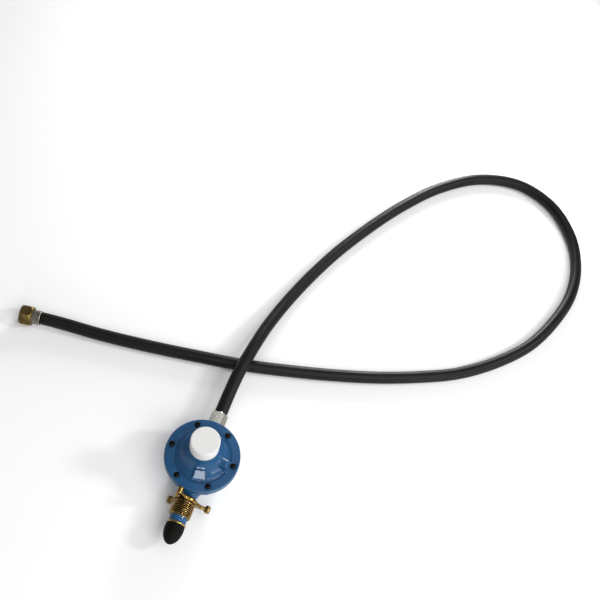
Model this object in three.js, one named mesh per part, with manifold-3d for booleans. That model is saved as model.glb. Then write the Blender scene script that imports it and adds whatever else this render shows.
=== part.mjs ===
// Propane regulator with its hose: a low-pressure regulator with a hand-tightened inlet nut and
// soft nose, a crimped rubber hose, and a flare nut on the far end.
// Millimetres. The origin is the centre of the regulator's flat base, +Z runs up its diaphragm
// axis, +Y points out of its outlet and -Y out of its inlet.
import * as THREE from "three";
import { mergeVertices } from "three/addons/utils/BufferGeometryUtils.js";
import Module from "manifold-3d";

const wasm = await Module();
wasm.setup();

// ---- Driving dimensions ----
const GAP = 0.3;
const PORT_Z = 21;

const FLANGE_R = 38.5;
const BASE_R = 22.5;
const BODY_FLANGE_Z = 31.5;
const BODY_TOP_Z = 35.9;
const CHAMBER_FLOOR_Z = 9;

const DIAPHRAGM_T = 1;
const DIAPHRAGM_Z = BODY_TOP_Z + GAP;
const BONNET_Z = DIAPHRAGM_Z + DIAPHRAGM_T + GAP;
const FLANGE_TOP_Z = 41;
const TOWER_R = 12.4;
const TOWER_BORE_R = 10.2;
const TOWER_TOP_Z = 78.2;
const SHOULDER_Z = 63.6;

const SCREW_COUNT = 6;
const SCREW_CIRCLE_R = 33;
const SCREW_R = 1.9;
const SCREW_HEAD_R = 2.9;
const SCREW_HEAD_H = 2.1;
const SCREW_LENGTH = 13;

const CAP_R = 14.6;
const CAP_Z = 65;
const CAP_TOP_Z = 81.2;
const CAP_WALL = 1.7;

const PIVOT_Y = -13;
const PIVOT_Z = 14.5;
const PIN_R = 1.2;
const LEVER_TIP_Y = 1.3;
const LEVER_TIP_Z = 27;
const LEVER_T = 3;

const BOSS_END_Y = -40;
const NECK_R = 6;
const SHOULDER_R = 9;
const SHOULDER_REAR_Y = -56.5;
const SHOULDER_FRONT_Y = -67.5;
const SPIGOT_R = 5;

const NUT_REAR_Y = -41.7;
const NUT_FRONT_Y = -61.6;
const NUT_COLLAR_R = 12.8;
const NUT_COLLAR_L = 3.6;
const NUT_THREAD_R = 11.25;
const NUT_STEP_Y = -51;
const PRONG_COUNT = 3;
const PRONG_START = -12.6;
const PRONG_LOBE_R = 2.75;
const PRONG_LOBE_L = 7.2;
const PRONG_LOBE_REAR_Y = -39.4;
const PRONG_TIP_R = 27;

const NOSE_R = 9.8;
const NOSE_REAR_Y = -70.1;
const NOSE_TIP_Y = -89.2;

const HOSE_R = 7;
const HOSE_BORE_R = 4.2;
const HOSE_END_R = 6.6;
const HOSE_STEPS = 56;
const HOSE_SIDES = 10;
const OUTLET_END_Y = 38;
const TAIL_R = HOSE_BORE_R - GAP;
const TAIL_L = 15;
const INSERT_BORE_R = 2.9;
const SLEEVE_FLATS = 8;
const SLEEVE_MOUTH_Y = 55.5;

const HEX_FLATS = 20.6;
const FLARE_NUT_REAR = -2.6;
const FLARE_NUT_FRONT = 11.2;
const FERRULE_MOUTH = -10.9;
const FAR_TURN = 98.57;
const FAR_PLACE = [-234.85, 92.39, HEX_FLATS / 2];

// The hose's route from its face at the regulator to its face in the far fitting: straight out
// of the outlet, over its own far run, down to the floor, round the open loop, back under the
// first run and up into the fitting.
const HOSE_ROUTE = [
  [0, OUTLET_END_Y + 2.2, PORT_Z],
  [0, 62, PORT_Z + 0.1],
  [0.3, 82, PORT_Z + 0.5],
  [1.2, 103, PORT_Z + 1],
  [3.2, 124, PORT_Z + 1.1],
  [6.6, 149, 20.4],
  [11.2, 178, 16.2],
  [21, 219.5, 10.2],
  [35.7, 265, 7.4],
  [56.5, 315.5, HOSE_R],
  [83.5, 368, HOSE_R],
  [116.5, 422.5, HOSE_R],
  [158, 476, HOSE_R],
  [208, 516, HOSE_R],
  [262, 530, HOSE_R],
  [310, 513.5, HOSE_R],
  [343, 474, HOSE_R],
  [356.5, 430, HOSE_R],
  [356.5, 383, HOSE_R],
  [343, 337.5, HOSE_R],
  [317.5, 288, HOSE_R],
  [282.5, 248.5, HOSE_R],
  [240.5, 215, HOSE_R],
  [197, 192, HOSE_R],
  [152, 172.5, HOSE_R],
  [100, 154.5, HOSE_R],
  [50.5, 140, HOSE_R],
  [1.5, 127.5, HOSE_R],
  [-50, 118, HOSE_R],
  [-104, 109, HOSE_R],
  [-156.5, 102, 7.2],
  [-195.7, 98, 8.9],
  [-216, 95.3, 10.1],
  [-234.16, 92.5, HEX_FLATS / 2],
];

// ---- Materials ----
function finish(colour, roughness, metalness) {
  return new THREE.MeshStandardMaterial({ color: colour, roughness, metalness });
}

const BLUE_ENAMEL = finish(0x34628f, 0.28, 0.1);
const WHITE_PLASTIC = finish(0xe4e3de, 0.45, 0);
const BLACK_STEEL = finish(0x14120f, 0.45, 0.8);
const BRASS = finish(0xa98543, 0.3, 1);
const ZINC = finish(0xaeb0ad, 0.38, 1);
const SILVER = finish(0xc9c8c2, 0.3, 1);
const SPRING_STEEL = finish(0x8d9094, 0.35, 1);
const HOSE_RUBBER = finish(0x20211d, 0.7, 0);
const NOSE_RUBBER = finish(0x161612, 0.8, 0);
const DIAPHRAGM_RUBBER = finish(0x2a2723, 0.75, 0);
const SEAT_RUBBER = finish(0x33291f, 0.7, 0);
const FIBRE = finish(0x7a3325, 0.8, 0);
const BRONZE_MESH = finish(0x7d5a33, 0.6, 0.9);

// ---- Shape helpers ----
function solidOf(geometry) {
  const bare = geometry.index ? geometry.toNonIndexed() : geometry.clone();
  bare.deleteAttribute("normal");
  bare.deleteAttribute("uv");
  const merged = mergeVertices(bare, 1e-4);
  const vertProperties = merged.attributes.position.array;
  const triVerts = new Uint32Array(merged.index.array);
  return new wasm.Manifold(new wasm.Mesh({ numProp: 3, vertProperties, triVerts }));
}

function geometryOf(solid) {
  const mesh = solid.getMesh();
  const geometry = new THREE.BufferGeometry();
  geometry.setAttribute("position", new THREE.BufferAttribute(mesh.vertProperties, 3));
  geometry.setIndex(new THREE.BufferAttribute(mesh.triVerts, 1));
  geometry.computeVertexNormals();
  return geometry;
}

function joined(...geometries) {
  return geometries.map(solidOf).reduce((sum, next) => sum.add(next));
}

function cutFrom(solid, ...geometries) {
  return geometries.map(solidOf).reduce((rest, tool) => rest.subtract(tool), solid);
}

// A solid of revolution about +Y from an outline of [radius, y] points. The outline either
// starts and ends on the axis or is closed into a ring.
function turnedY(outline, segments = 20) {
  const points = outline.map(([r, y]) => new THREE.Vector2(r, y));
  if (outline[0][0] > 0) points.push(points[0].clone());
  const area = THREE.ShapeUtils.area(points);
  if (area < 0) points.reverse();
  return new THREE.LatheGeometry(points, segments);
}

// The same about +Z, from [radius, z] points.
function turnedZ(outline, segments = 20) {
  return turnedY(outline, segments).rotateX(Math.PI / 2);
}

function rodZ(radius, from, to, segments = 10) {
  return turnedZ([[0, from], [radius, from], [radius, to], [0, to]], segments);
}

function rodY(radius, from, to, segments = 16) {
  return turnedY([[0, from], [radius, from], [radius, to], [0, to]], segments);
}

function tubeY(inner, outer, from, to, segments = 20) {
  return turnedY([[inner, from], [outer, from], [outer, to], [inner, to]], segments);
}

function rodX(radius, from, to, segments = 10) {
  return rodY(radius, from, to, segments).rotateZ(-Math.PI / 2);
}

function block(low, high) {
  const size = high.map((value, i) => value - low[i]);
  const middle = high.map((value, i) => (value + low[i]) / 2);
  return new THREE.BoxGeometry(...size).translate(...middle);
}

// Points on a quadratic curve between two ends, both included.
function bend(start, control, end, count) {
  const at = (t, i) =>
    (1 - t) ** 2 * start[i] + 2 * t * (1 - t) * control[i] + t ** 2 * end[i];
  return Array.from({ length: count + 1 }, (_, k) => [at(k / count, 0), at(k / count, 1)]);
}

function aroundZ(count, startDegrees, make) {
  return Array.from({ length: count }, (_, k) => {
    const angle = THREE.MathUtils.degToRad(startDegrees + (360 / count) * k);
    return make(angle, k);
  });
}

function screwPlaces(make) {
  return aroundZ(SCREW_COUNT, 0, (angle) =>
    make(SCREW_CIRCLE_R * Math.cos(angle), SCREW_CIRCLE_R * Math.sin(angle)),
  );
}

// ---- Regulator housing ----
function lowerBody() {
  const bowl = turnedZ(
    [
      [0, 0], [BASE_R - 1.2, 0], [BASE_R, 1.2], [29.2, 25], [31, BODY_FLANGE_Z],
      [FLANGE_R - 0.6, BODY_FLANGE_Z], [FLANGE_R, BODY_FLANGE_Z + 0.6],
      [FLANGE_R, BODY_TOP_Z], [0, BODY_TOP_Z],
    ],
    36,
  );
  const screwBosses = screwPlaces((x, y) =>
    rodZ(4.2, 25, BODY_FLANGE_Z + 1, 10).translate(x, y, 0),
  );
  const inletBoss = turnedY([
    [0, -25], [11.5, -25], [11.5, -34], [9.8, -37.5], [9.5, BOSS_END_Y], [0, BOSS_END_Y],
  ]).translate(0, 0, PORT_Z);
  const outletBoss = rodY(9.6, 25, OUTLET_END_Y).translate(0, 0, PORT_Z);
  const chamber = turnedZ(
    [
      [0, CHAMBER_FLOOR_Z], [20, CHAMBER_FLOOR_Z], [23.5, 12], [27.5, 28],
      [28.3, BODY_TOP_Z + 1], [0, BODY_TOP_Z + 1],
    ],
    24,
  );
  const valveGuide = rodY(7.5, -27.5, -17).translate(0, 0, PORT_Z);
  const pinLugs = [-1, 1].map((side) =>
    block([-1.5, -3, CHAMBER_FLOOR_Z - 1], [1.5, 3, PIVOT_Z + 2.8])
      .translate(side * 5.9, PIVOT_Y, 0),
  );
  const shell = cutFrom(joined(bowl, inletBoss, outletBoss, ...screwBosses), chamber);
  const fitted = [valveGuide, ...pinLugs].reduce((sum, g) => sum.add(solidOf(g)), shell);
  const holes = [
    rodY(7, BOSS_END_Y - 1, -28.5),
    rodY(4, -29, -22.8),
    rodY(4.4, -23, -16),
    rodY(5.5, 24, 29),
    rodY(7, 28.3, OUTLET_END_Y + 1),
  ].map((hole) => hole.translate(0, 0, PORT_Z));
  const pinHole = rodX(PIN_R + GAP, -9, 9).translate(0, PIVOT_Y, PIVOT_Z);
  const screwHoles = screwPlaces((x, y) =>
    rodZ(SCREW_R + GAP, 26.5, BODY_TOP_Z + 1).translate(x, y, 0),
  );
  return geometryOf(cutFrom(fitted, ...holes, pinHole, ...screwHoles));
}

const VENT_TURN = THREE.MathUtils.degToRad(-7);
const VENT_AXIS_Z = 48.2;
const VENT_END_X = 27.6;

// The vent boss: a hood with a round back that runs out from the tower.
function ventHood() {
  const half = 4.8;
  const section = new THREE.Shape();
  section.moveTo(-half, -9);
  section.lineTo(half, -9);
  section.lineTo(half, 0);
  section.absarc(0, 0, half, 0, Math.PI, false);
  section.closePath();
  const hood = new THREE.ExtrudeGeometry(section, {
    depth: VENT_END_X - 12,
    bevelEnabled: false,
    curveSegments: 6,
  });
  return hood
    .rotateX(Math.PI / 2)
    .rotateZ(Math.PI / 2)
    .translate(12, 0, VENT_AXIS_Z)
    .rotateZ(VENT_TURN);
}

// The blank raised pad on the side of the bell that faces the inlet.
function bellPad() {
  const outline = new THREE.Shape();
  outline.moveTo(-7.2, -5.6);
  outline.lineTo(7.2, -5.6);
  outline.lineTo(5.4, 5.6);
  outline.lineTo(-5.4, 5.6);
  outline.closePath();
  const slope = THREE.MathUtils.degToRad(47);
  const around = THREE.MathUtils.degToRad(13);
  return new THREE.ExtrudeGeometry(outline, { depth: 2.6, bevelEnabled: false })
    .rotateX(slope)
    .translate(0, -21.5, 45.2)
    .rotateZ(around);
}

function bonnet() {
  const outside = turnedZ(
    [
      [0, BONNET_Z], [FLANGE_R - 0.5, BONNET_Z], [FLANGE_R, BONNET_Z + 0.5],
      [FLANGE_R, FLANGE_TOP_Z - 0.7], [FLANGE_R - 0.7, FLANGE_TOP_Z],
      [29.4, FLANGE_TOP_Z], [28.9, FLANGE_TOP_Z - 0.8], [27.8, FLANGE_TOP_Z - 0.8],
      ...bend([27.2, FLANGE_TOP_Z + 0.4], [19, 46], [15.3, 60.5], 4),
      [14.9, SHOULDER_Z], [TOWER_R, SHOULDER_Z], [TOWER_R, TOWER_TOP_Z - 0.5],
      [TOWER_R - 0.5, TOWER_TOP_Z], [0, TOWER_TOP_Z],
    ],
    36,
  );
  const inside = turnedZ(
    [
      [0, BONNET_Z - 1], [29, BONNET_Z - 1], [29, BONNET_Z + 0.6],
      ...bend([25.2, 39.6], [16.8, 44.5], [12.6, 60.5], 3),
      [TOWER_BORE_R, 63.4], [TOWER_BORE_R, TOWER_TOP_Z + 1], [0, TOWER_TOP_Z + 1],
    ],
    24,
  );
  const screwHoles = screwPlaces((x, y) =>
    rodZ(SCREW_R + GAP, BONNET_Z - 1, FLANGE_TOP_Z + 1).translate(x, y, 0),
  );
  const ventBore = rodX(2, 10, VENT_END_X + 1, 14);
  const screenSeat = rodX(3.3, VENT_END_X - 2.2, VENT_END_X + 1, 18);
  const ventHoles = [ventBore, screenSeat].map((hole) =>
    hole.translate(0, 0, VENT_AXIS_Z).rotateZ(VENT_TURN),
  );
  const shell = joined(outside, ventHood(), bellPad());
  return geometryOf(cutFrom(shell, inside, ...screwHoles, ...ventHoles));
}

function bonnetScrew() {
  const head = FLANGE_TOP_Z + GAP;
  return turnedZ(
    [
      [0, head - SCREW_LENGTH], [SCREW_R - 0.6, head - SCREW_LENGTH],
      [SCREW_R, head - SCREW_LENGTH + 0.8], [SCREW_R, head], [SCREW_HEAD_R, head],
      [SCREW_HEAD_R, head + 0.9], [2, head + SCREW_HEAD_H], [0, head + SCREW_HEAD_H],
    ],
    10,
  );
}

function ventScreen() {
  return rodX(3, VENT_END_X - 1.9, VENT_END_X - 1.1, 18)
    .translate(0, 0, VENT_AXIS_Z)
    .rotateZ(VENT_TURN);
}

// ---- Tower: cap, adjusting screw and spring seat ----
function cap() {
  return turnedZ(
    [
      [0, CAP_TOP_Z - 2.2], [CAP_R - CAP_WALL, CAP_TOP_Z - 2.2], [CAP_R - CAP_WALL, CAP_Z],
      [CAP_R, CAP_Z], [CAP_R, CAP_TOP_Z - 0.8], [CAP_R - 0.8, CAP_TOP_Z], [0, CAP_TOP_Z],
    ],
    32,
  );
}

function capSeal() {
  return turnedZ(
    [
      [TOWER_R + GAP, SHOULDER_Z + GAP], [14.4, SHOULDER_Z + GAP], [14.4, CAP_Z - GAP],
      [TOWER_R + GAP, CAP_Z - GAP],
    ],
    28,
  );
}

function adjustingScrew() {
  const low = 68.9;
  const high = 75.9;
  const radius = TOWER_BORE_R - GAP;
  const disc = turnedZ(
    [
      [0, low], [radius - 0.6, low], [radius, low + 0.6], [radius, high - 0.6],
      [radius - 0.6, high], [0, high],
    ],
    24,
  );
  const socket = rodZ(5.2, high - 4, high + 1, 6);
  return geometryOf(cutFrom(solidOf(disc), socket));
}

function upperSpringSeat() {
  return turnedZ([
    [3, 64.8], [6.8, 64.8], [6.8, 66.8], [9.6, 66.8], [9.6, 68.6], [3, 68.6],
  ]);
}

class Helix extends THREE.Curve {
  constructor(radius, low, high, turns) {
    super();
    Object.assign(this, { radius, low, high, turns });
  }
  getPoint(t, target = new THREE.Vector3()) {
    const angle = 2 * Math.PI * this.turns * t;
    const z = this.low + (this.high - this.low) * t;
    return target.set(this.radius * Math.cos(angle), this.radius * Math.sin(angle), z);
  }
}

function ringSection(radius, sides) {
  const points = Array.from({ length: sides }, (_, k) => {
    const angle = (2 * Math.PI * (k + 0.5)) / sides;
    return new THREE.Vector2(radius * Math.cos(angle), radius * Math.sin(angle));
  });
  return new THREE.Shape(points);
}

function coilSpring({ radius, wire, low, high, turns, stepsPerTurn, sides }) {
  const path = new Helix(radius, low + wire, high - wire, turns);
  return new THREE.ExtrudeGeometry(ringSection(wire, sides), {
    extrudePath: path,
    steps: Math.round(turns * stepsPerTurn),
    bevelEnabled: false,
  });
}

// ---- Diaphragm and its valve linkage ----
function diaphragm() {
  const low = DIAPHRAGM_Z;
  const high = DIAPHRAGM_Z + DIAPHRAGM_T;
  const outer = FLANGE_R - GAP;
  const sheet = turnedZ(
    [
      [2.8, low], [21.4, low], [22.6, low - 1.3], [25, low - 1.3], [26.2, low],
      [outer, low], [outer, high], [26.7, high], [25.5, high - 1.3], [22.1, high - 1.3],
      [20.9, high], [2.8, high],
    ],
    24,
  );
  const holes = screwPlaces((x, y) => rodZ(2.5, low - 1, high + 1, 8).translate(x, y, 0));
  return geometryOf(cutFrom(solidOf(sheet), ...holes));
}

function diaphragmPlate() {
  return turnedZ(
    [
      [2.8, BONNET_Z], [19, BONNET_Z], [20.3, BONNET_Z + 2.2], [19.4, BONNET_Z + 2.2],
      [18.4, BONNET_Z + 1], [2.8, BONNET_Z + 1],
    ],
    24,
  );
}

function diaphragmStem() {
  const stem = turnedZ(
    [
      [0, 23.4], [3.6, 23.4], [3.6, 33.4], [7, 34.4], [7, BODY_TOP_Z], [2.5, BODY_TOP_Z],
      [2.5, 52.4], [0, 52.4],
    ],
    18,
  );
  const window = block([-1.9, -5, LEVER_TIP_Z - 1.9], [1.9, 5, LEVER_TIP_Z + 1.9]);
  return geometryOf(cutFrom(solidOf(stem), window));
}

function reliefNut() {
  const hex = rodZ(4.8, 48.4, 51.4, 6);
  return geometryOf(cutFrom(solidOf(hex), rodZ(2.8, 48, 52)));
}

// An angled lever: a hub on the pin, an arm up through the valve holder, and an arm across to
// the diaphragm's stem.
function lever() {
  const half = LEVER_T / 2;
  const barHalf = 0.8;
  const hub = rodX(2.6, -half, half, 14).translate(0, PIVOT_Y, PIVOT_Z);
  const upright = block(
    [-half, PIVOT_Y - barHalf, PIVOT_Z],
    [half, PIVOT_Y + barHalf, LEVER_TIP_Z + barHalf],
  );
  const across = block(
    [-half, PIVOT_Y - barHalf, LEVER_TIP_Z - barHalf],
    [half, LEVER_TIP_Y, LEVER_TIP_Z + barHalf],
  );
  const tip = rodX(1.4, -half, half).translate(0, LEVER_TIP_Y, LEVER_TIP_Z);
  const cam = rodX(1.3, -half, half).translate(0, PIVOT_Y, PORT_Z);
  const pinHole = rodX(PIN_R + GAP, -half - 1, half + 1).translate(0, PIVOT_Y, PIVOT_Z);
  return geometryOf(cutFrom(joined(hub, upright, across, tip, cam), pinHole));
}

function leverPin() {
  return rodX(PIN_R, -7.2, 7.2).translate(0, PIVOT_Y, PIVOT_Z);
}

function valveHolder() {
  const holder = turnedY([
    [0, -18.3], [3.5, -18.3], [3.5, -20.1], [4, -20.1], [4, -9.3], [3.5, -8.8], [0, -8.8],
  ]);
  const window = block([-1.9, PIVOT_Y - 2.15, -6], [1.9, PIVOT_Y + 2.15, 6]);
  return geometryOf(cutFrom(solidOf(holder), window));
}

function seatDisc() {
  return rodY(3.2, -20.6, -18.6, 20);
}

function orifice() {
  return turnedY(
    [
      [1.25, -28], [3.7, -28], [3.7, -23.1], [2.6, -22.8], [1.9, -21.9], [1.25, -21.9],
    ],
    20,
  );
}

// ---- Inlet: stem, hand nut, washer, ring and soft nose ----
function inletStem() {
  return turnedY(
    [
      [4.3, -28.8], [6.7, -28.8], [6.7, BOSS_END_Y - 0.2], [NECK_R, BOSS_END_Y - 0.9],
      [NECK_R, SHOULDER_REAR_Y], [SHOULDER_R - 0.6, SHOULDER_REAR_Y],
      [SHOULDER_R, SHOULDER_REAR_Y - 0.6], [SHOULDER_R, SHOULDER_FRONT_Y + 0.5],
      [SHOULDER_R - 0.5, SHOULDER_FRONT_Y], [SPIGOT_R, SHOULDER_FRONT_Y], [SPIGOT_R, -78],
      [5.7, -79], [5.7, -80], [4.2, -84], [3, -84], [3, -33.4], [4.3, -33.4],
    ],
    20,
  );
}

function inletFilter() {
  return turnedY([[0, -30.5], [2.4, -30.5], [2.4, -29.1], [4, -29.1], [4, -33.1], [0, -33.1]]);
}

function thrustWasher() {
  return tubeY(6.3, 9.1, NUT_STEP_Y - GAP - 1.2, NUT_STEP_Y - GAP, 28);
}

// One prong: a tapered arm on the collar with a round lobe along the nut's axis at its tip.
function prong(angle) {
  const lobeAt = PRONG_TIP_R - PRONG_LOBE_R;
  const outline = new THREE.Shape();
  outline.moveTo(8.5, -5);
  outline.lineTo(13, -3.8);
  outline.lineTo(17.5, -1.9);
  outline.lineTo(lobeAt, -1.7);
  outline.lineTo(lobeAt, 1.7);
  outline.lineTo(17.5, 1.9);
  outline.lineTo(13, 3.8);
  outline.lineTo(8.5, 5);
  outline.closePath();
  const arm = new THREE.ExtrudeGeometry(outline, { depth: NUT_COLLAR_L, bevelEnabled: false })
    .rotateX(Math.PI / 2)
    .translate(0, NUT_REAR_Y, 0);
  const lobeRear = PRONG_LOBE_REAR_Y;
  const lobe = turnedY(
    [
      [0, lobeRear], [PRONG_LOBE_R - 0.6, lobeRear], [PRONG_LOBE_R, lobeRear - 0.6],
      [PRONG_LOBE_R, lobeRear - PRONG_LOBE_L + 0.6],
      [PRONG_LOBE_R - 0.6, lobeRear - PRONG_LOBE_L], [0, lobeRear - PRONG_LOBE_L],
    ],
    8,
  ).translate(lobeAt, 0, 0);
  return [arm, lobe].map((piece) => piece.rotateY(-angle));
}

function handNut() {
  const barrel = turnedY(
    [
      [NECK_R + 0.9, NUT_REAR_Y], [NUT_COLLAR_R - 0.8, NUT_REAR_Y],
      [NUT_COLLAR_R, NUT_REAR_Y - 0.8], [NUT_COLLAR_R, NUT_REAR_Y - NUT_COLLAR_L],
      [NUT_THREAD_R, NUT_REAR_Y - NUT_COLLAR_L - 0.5], [NUT_THREAD_R, NUT_FRONT_Y + 1],
      [NUT_THREAD_R - 1, NUT_FRONT_Y], [SHOULDER_R + 0.5, NUT_FRONT_Y],
      [SHOULDER_R + 0.5, NUT_STEP_Y], [NECK_R + 0.9, NUT_STEP_Y],
    ],
    24,
  );
  const start = THREE.MathUtils.degToRad(PRONG_START);
  const prongs = Array.from({ length: PRONG_COUNT }, (_, k) =>
    prong(start + (2 * Math.PI * k) / PRONG_COUNT),
  ).flat();
  const bore = rodY(NECK_R + 0.9, NUT_FRONT_Y - 1, NUT_REAR_Y + 2, 24);
  return geometryOf(cutFrom(joined(barrel, ...prongs), bore));
}

function noseRing() {
  return turnedY(
    [
      [SPIGOT_R + GAP, -67.8], [9.4, -67.8], [9.9, -68.3], [9.9, -69.3], [9.4, -69.8],
      [SPIGOT_R + GAP, -69.8],
    ],
    24,
  );
}

function rubberNose() {
  const tipHoleR = 2.2;
  const waistY = NOSE_REAR_Y - 4;
  const length = waistY - NOSE_TIP_Y;
  const lastAngle = Math.acos(tipHoleR / NOSE_R);
  const steps = 6;
  const ogive = Array.from({ length: steps + 1 }, (_, k) => {
    const angle = (lastAngle * k) / steps;
    return [
      NOSE_R * Math.cos(angle),
      waistY - (length * Math.sin(angle)) / Math.sin(lastAngle),
    ];
  });
  return turnedY(
    [
      [6, NOSE_REAR_Y], [NOSE_R - 0.6, NOSE_REAR_Y], [NOSE_R - 0.1, NOSE_REAR_Y - 1],
      ...ogive, [tipHoleR, -84.4], [6, -84.4],
    ],
    24,
  );
}

// ---- Outlet and hose ----
function outletInsert() {
  const face = OUTLET_END_Y + 0.3;
  return turnedY(
    [
      [INSERT_BORE_R, 28.8], [6.7, 28.8], [6.7, face - 0.6], [TAIL_R, face - 0.6],
      [TAIL_R, face + TAIL_L], [TAIL_R - 0.7, face + TAIL_L + 1],
      [INSERT_BORE_R, face + TAIL_L + 1],
    ],
    16,
  );
}

function crimpSleeve() {
  const corner = 9.6;
  const rear = OUTLET_END_Y + 0.3;
  const sleeve = turnedY(
    [
      [0, rear], [corner - 0.7, rear], [corner, rear + 0.7],
      [corner, SLEEVE_MOUTH_Y - 1.2], [corner - 0.8, SLEEVE_MOUTH_Y], [0, SLEEVE_MOUTH_Y],
    ],
    SLEEVE_FLATS,
  ).rotateY(Math.PI / SLEEVE_FLATS);
  const bore = rodY(HOSE_END_R + GAP, rear + 1.6, SLEEVE_MOUTH_Y + 1, 24);
  const rearBore = rodY(TAIL_R + GAP, rear - 1, rear + 2);
  return geometryOf(cutFrom(solidOf(sleeve), bore, rearBore));
}

const hoseRoute = new THREE.CatmullRomCurve3(
  HOSE_ROUTE.map((point) => new THREE.Vector3(...point)),
  false,
  "centripetal",
);

// Places a shape made along +Y from the origin at a hose end, pointing along the hose.
function atHoseEnd(geometry, t, into) {
  const along = hoseRoute.getTangent(t).multiplyScalar(into);
  const turn = new THREE.Quaternion().setFromUnitVectors(new THREE.Vector3(0, 1, 0), along);
  return geometry.applyQuaternion(turn).translate(...hoseRoute.getPoint(t));
}

function hose() {
  const body = new THREE.ExtrudeGeometry(ringSection(HOSE_R, HOSE_SIDES), {
    extrudePath: hoseRoute,
    steps: HOSE_STEPS,
    bevelEnabled: false,
  });
  const ends = [
    { t: 0, into: 1, crimped: SLEEVE_MOUTH_Y - OUTLET_END_Y },
    { t: 1, into: -1, crimped: 1.4 - FERRULE_MOUTH },
  ];
  const tools = ends.flatMap(({ t, into, crimped }) => [
    atHoseEnd(rodY(HOSE_BORE_R, -1, TAIL_L + 1.5, 14), t, into),
    atHoseEnd(tubeY(HOSE_END_R, HOSE_R + 3, -1, crimped, 16), t, into),
  ]);
  return geometryOf(cutFrom(solidOf(body), ...tools));
}

// ---- Far fitting, along its own +Y from the shoulder of the flare nut ----
function farFerrule() {
  const inner = HOSE_END_R + GAP;
  return turnedY(
    [
      [5.3, 0.1], [inner, 0.1], [inner, FERRULE_MOUTH], [7.8, FERRULE_MOUTH],
      [8, FERRULE_MOUTH + 0.6], [7.6, FERRULE_MOUTH + 2.2], [7.6, -3], [7.9, -1], [7.9, 0.9],
      [7.5, 1.3], [5.3, 1.3],
    ],
    18,
  );
}

function farInsert() {
  return turnedY(
    [
      [INSERT_BORE_R, -13], [TAIL_R - 0.7, -13], [TAIL_R, -12], [TAIL_R, -0.2], [5, -0.2],
      [5, 4.1], [7, 4.1], [7, 5.6], [4, 8.6], [INSERT_BORE_R, 8.6],
    ],
    16,
  );
}

function flareNut() {
  const corner = HEX_FLATS / Math.sqrt(3);
  const rear = FLARE_NUT_REAR;
  const front = FLARE_NUT_FRONT;
  const hex = rodY(corner, rear, front, 6).rotateY(Math.PI / 6);
  const rounding = turnedY(
    [
      [0, rear - 1], [8.8, rear - 1], [8.8, rear], [10.2, rear + 0.9], [11.1, rear + 2.2],
      [corner + 0.1, rear + 4], [corner + 0.1, front - 2], [10.4, front], [10.4, front + 1],
      [0, front + 1],
    ],
    24,
  );
  const bores = [
    rodY(8.3, rear - 1, 1.7, 20),
    rodY(5.4, 1, 4),
    rodY(7.4, 3.8, front + 2, 20),
  ];
  return geometryOf(cutFrom(solidOf(hex).intersect(solidOf(rounding)), ...bores));
}

// ---- Assembly ----
const part = new THREE.Group();

function add(name, geometry, material, parent = part) {
  const mesh = new THREE.Mesh(geometry, material.clone());
  mesh.name = name;
  parent.add(mesh);
  return mesh;
}

add("lower_body", lowerBody(), BLUE_ENAMEL);
add("bonnet", bonnet(), BLUE_ENAMEL);
add("vent_screen", ventScreen(), BRONZE_MESH);
screwPlaces((x, y) => [x, y]).forEach(([x, y], k) => {
  add(`bonnet_screw_${k + 1}`, bonnetScrew(), BLACK_STEEL).position.set(x, y, 0);
});

add("cap", cap(), WHITE_PLASTIC);
add("cap_seal", capSeal(), DIAPHRAGM_RUBBER);
add("adjusting_screw", adjustingScrew(), ZINC);
add("upper_spring_seat", upperSpringSeat(), SPRING_STEEL);
const MAIN_SPRING = {
  radius: 8.4, wire: 0.8, low: BONNET_Z + 1 + GAP, high: 66.5, turns: 6, stepsPerTurn: 12, sides: 5,
};
add("main_spring", coilSpring(MAIN_SPRING), SPRING_STEEL);

add("diaphragm", diaphragm(), DIAPHRAGM_RUBBER);
add("diaphragm_plate", diaphragmPlate(), ZINC);
add("diaphragm_stem", diaphragmStem(), BRASS);
const RELIEF_SPRING = {
  radius: 4.1, wire: 0.45, low: BONNET_Z + 1 + GAP, high: 48.1, turns: 5, stepsPerTurn: 10, sides: 5,
};
add("relief_spring", coilSpring(RELIEF_SPRING), SPRING_STEEL);
add("relief_nut", reliefNut(), BRASS);
add("lever", lever(), ZINC);
add("lever_pin", leverPin(), SPRING_STEEL);

// Pieces on the axis of the ports.
const ports = new THREE.Group();
ports.position.z = PORT_Z;
part.add(ports);
add("valve_holder", valveHolder(), BRASS, ports);
add("seat_disc", seatDisc(), SEAT_RUBBER, ports);
add("orifice", orifice(), BRASS, ports);
add("inlet_stem", inletStem(), BLUE_ENAMEL, ports);
add("inlet_filter", inletFilter(), BRONZE_MESH, ports);
add("thrust_washer", thrustWasher(), FIBRE, ports);
add("hand_nut", handNut(), BRASS, ports);
add("nose_ring", noseRing(), BRASS, ports);
add("rubber_nose", rubberNose(), NOSE_RUBBER, ports);
add("outlet_insert", outletInsert(), BRASS, ports);
add("outlet_sleeve", crimpSleeve(), SILVER, ports);

add("hose", hose(), HOSE_RUBBER);

const farFitting = new THREE.Group();
farFitting.position.set(...FAR_PLACE);
farFitting.rotation.z = THREE.MathUtils.degToRad(FAR_TURN);
part.add(farFitting);
add("far_insert", farInsert(), BRASS, farFitting);
add("far_ferrule", farFerrule(), ZINC, farFitting);
add("flare_nut", flareNut(), BRASS, farFitting);

export default part;
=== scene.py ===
"""Looks of the propane regulator with its hose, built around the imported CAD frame."""

import math

import bpy
import numpy as np
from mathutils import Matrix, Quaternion, Vector


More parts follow.
